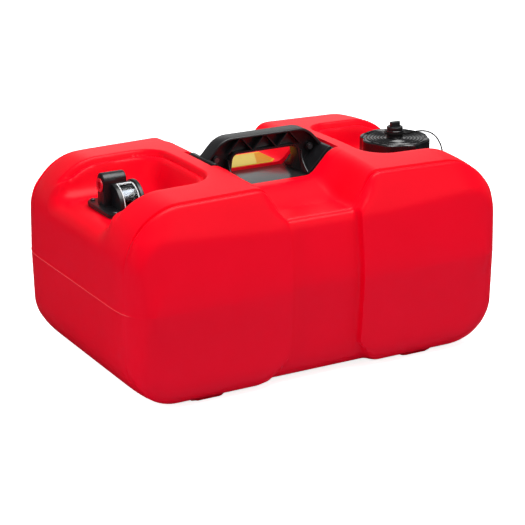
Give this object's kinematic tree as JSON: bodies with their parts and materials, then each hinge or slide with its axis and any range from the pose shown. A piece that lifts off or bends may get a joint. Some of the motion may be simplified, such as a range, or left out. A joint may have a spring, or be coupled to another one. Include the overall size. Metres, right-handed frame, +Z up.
{
  "type": "outboard fuel tank",
  "caption": "Portable blow-moulded fuel tank with a saddle and carrying handle, a withdrawal head with a float gauge, and a vented filler cap on a tether.",
  "frame": {"origin": "middle of the resting face, under the saddle's centre", "axes": "+Z up; +X towards the filler cap's end; -X towards the gauge's end; -Y the near long side of the picture"},
  "size_m": [0.62, 0.395, 0.332],
  "materials": {
    "red_polyethylene": "blow-moulded, satin",
    "red_plastic": "moulded, satin",
    "black_nylon": "moulded, satin",
    "gloss_black": "glossy",
    "nitrile_rubber": "matt",
    "zinc_steel": "zinc plated",
    "brass": "drawn",
    "clear_acrylic": "clear",
    "white_acetal": "moulded",
    "float_foam": "closed-cell foam",
    "yellow_label": "blank vinyl sticker",
    "strap_plastic": "moulded"
  },
  "bodies": {
    "tank": {"tank_shell": "red_polyethylene", "handle_grip": "black_nylon", "handle_base": "gloss_black", "handle_pin_left": "zinc_steel", "handle_pin_right": "zinc_steel", "label_patch": "yellow_label", "gauge_body": "black_nylon", "gauge_gasket": "nitrile_rubber", "gauge_screw_1": "zinc_steel", "gauge_screw_2": "zinc_steel", "gauge_screw_3": "zinc_steel", "gauge_screw_4": "zinc_steel", "gauge_lens": "clear_acrylic", "drum_shaft": "zinc_steel", "float_bracket": "zinc_steel", "float_pin": "zinc_steel", "pickup_tube": "brass", "pickup_strainer": "white_acetal", "tether_anchor": "strap_plastic"},
    "float": {"float_arm": "zinc_steel", "gauge_float": "float_foam"},
    "drum": {"gauge_drum": "white_acetal"},
    "link": {"gauge_link": "brass"},
    "plug": {"outlet_plug": "red_plastic"},
    "tether": {"cap_tether": "strap_plastic"},
    "swivel": {"tether_ring": "strap_plastic"},
    "cap": {"fuel_cap": "black_nylon", "cap_liner": "black_nylon", "cap_gasket": "nitrile_rubber", "vent_collar": "black_nylon"},
    "vent_washer": {"vent_seal": "nitrile_rubber"},
    "vent_screw": {"vent_knob": "black_nylon"}
  },
  "joints": [
    {"name": "float_swing", "type": "hinge", "parent": "tank", "child": "float", "pos_m": [-0.2369, -0.00961, 0.13], "axis": [1, 0, 0], "range_deg": [0, 95]},
    {"name": "drum_turn", "type": "hinge", "parent": "tank", "child": "drum", "pos_m": [-0.2369, -0.003, 0.2624], "axis": [1, 0, 0], "range_deg": [0, 48]},
    {"name": "link_pivot", "type": "hinge", "parent": "drum", "child": "link", "pos_m": [-0.2386, -0.014, 0.26719], "axis": [1, 0, 0], "range_deg": [-48, 0]},
    {"name": "plug_pull", "type": "slide", "parent": "tank", "child": "plug", "axis": [-1, 0, 0], "range_m": [0, 0.03]},
    {"name": "cap_lift", "type": "slide", "parent": "tank", "child": "tether", "axis": [0, 0, 1], "range_m": [0, 0.035], "deforming": ["cap_tether"]},
    {"name": "cap_rise", "type": "slide", "parent": "tether", "child": "swivel", "axis": [0, 0, 1], "range_m": [0, 0.0068]},
    {"name": "cap_turn", "type": "hinge", "parent": "swivel", "child": "cap", "pos_m": [0.236, 0, 0.2928], "axis": [0, 0, 1], "range_deg": [0, 540]},
    {"name": "vent_rise", "type": "slide", "parent": "cap", "child": "vent_washer", "axis": [0, 0, 1], "range_m": [0, 0.00252]},
    {"name": "vent_turn", "type": "hinge", "parent": "vent_washer", "child": "vent_screw", "pos_m": [0.236, 0, 0.3], "axis": [0, 0, 1], "range_deg": [0, 720]}
  ],
  "couplings": [
    {"joint": "drum_turn", "follows": "float_swing", "ratio": 0.49554},
    {"joint": "link_pivot", "follows": "float_swing", "ratio": -0.49554},
    {"joint": "cap_rise", "follows": "cap_turn", "m_per_rad": 0.0007162},
    {"joint": "vent_rise", "follows": "vent_turn", "m_per_rad": 0.00019894}
  ]
}
